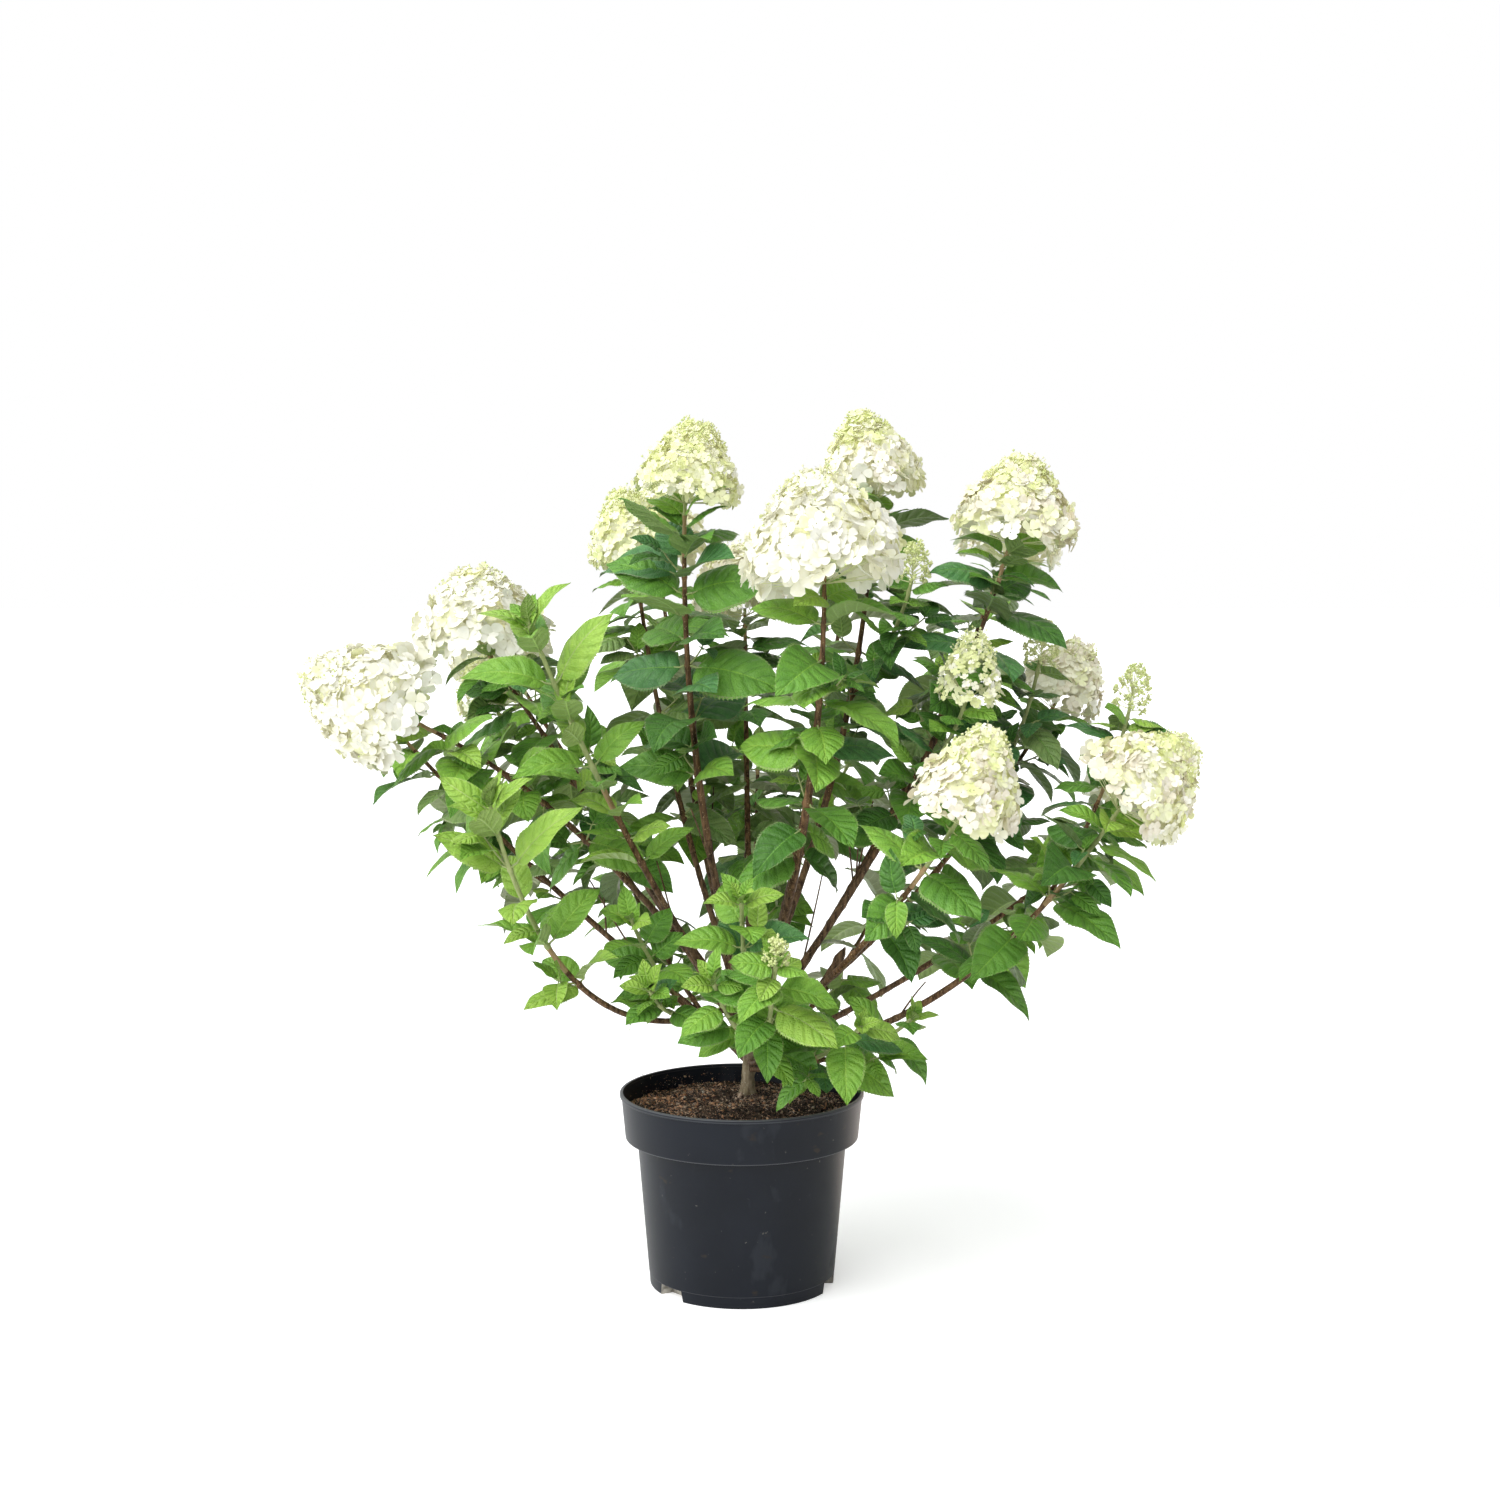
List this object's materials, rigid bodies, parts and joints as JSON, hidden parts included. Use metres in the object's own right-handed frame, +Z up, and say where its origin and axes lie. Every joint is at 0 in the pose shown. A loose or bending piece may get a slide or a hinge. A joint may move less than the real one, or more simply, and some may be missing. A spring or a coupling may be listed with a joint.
{
  "type": "potted panicle hydrangea shrub",
  "caption": "Leafy shrub with upright cone-shaped flower heads, on a short forked trunk in a round black plastic nursery pot filled with compost.",
  "frame": {"origin": "centre of the pot's flat underside, which stands on the ground", "axes": "+Z up along the pot's axis; -Y towards the side the plant is shown from; +X to the right of that view"},
  "size_m": [1.053, 0.8507, 1.0071],
  "materials": {
    "pot": "satin black",
    "compost": "rough crumbs",
    "bark": "thin brown bark",
    "foliage": "satin leaf",
    "blossom": "matt petal"
  },
  "bodies": {
    "root": {"bough_back_centre": "bark", "bough_back_far_left": "bark", "bough_back_far_right": "bark", "bough_back_left": "bark", "bough_back_low": "bark", "bough_back_mid": "bark", "bough_back_right": "bark", "bough_back_tall": "bark", "bough_far_left": "bark", "bough_far_right": "bark", "bough_front_mid": "bark", "bough_front_right": "bark", "bough_front_rosette": "bark", "bough_left_shoot": "bark", "bough_left_upper": "bark", "bough_low_back": "bark", "bough_low_behind": "bark", "bough_low_inner": "bark", "bough_low_left": "bark", "bough_low_right": "bark", "bough_right_mid": "bark", "bough_right_upper": "bark", "bough_side_left": "bark", "bough_tall_centre": "bark", "bough_tall_left": "bark", "bough_top_right": "bark", "mass_back_centre": "foliage", "mass_back_far_left": "foliage", "mass_back_far_right": "foliage", "mass_back_left": "foliage", "mass_back_low": "foliage", "mass_back_mid": "foliage", "mass_back_right": "foliage", "mass_back_tall": "foliage", "mass_far_left": "foliage", "mass_far_right": "foliage", "mass_front_mid": "foliage", "mass_front_right": "foliage", "mass_front_rosette": "foliage", "mass_left_shoot": "foliage", "mass_left_upper": "foliage", "mass_low_back": "foliage", "mass_low_behind": "foliage", "mass_low_inner": "foliage", "mass_low_left": "foliage", "mass_low_right": "foliage", "mass_right_mid": "foliage", "mass_right_upper": "foliage", "mass_side_left": "foliage", "mass_tall_centre": "foliage", "mass_tall_left": "foliage", "mass_top_right": "foliage", "pot": "pot", "root_ball": "compost", "trunk": "bark"}
  },
  "joints": []
}
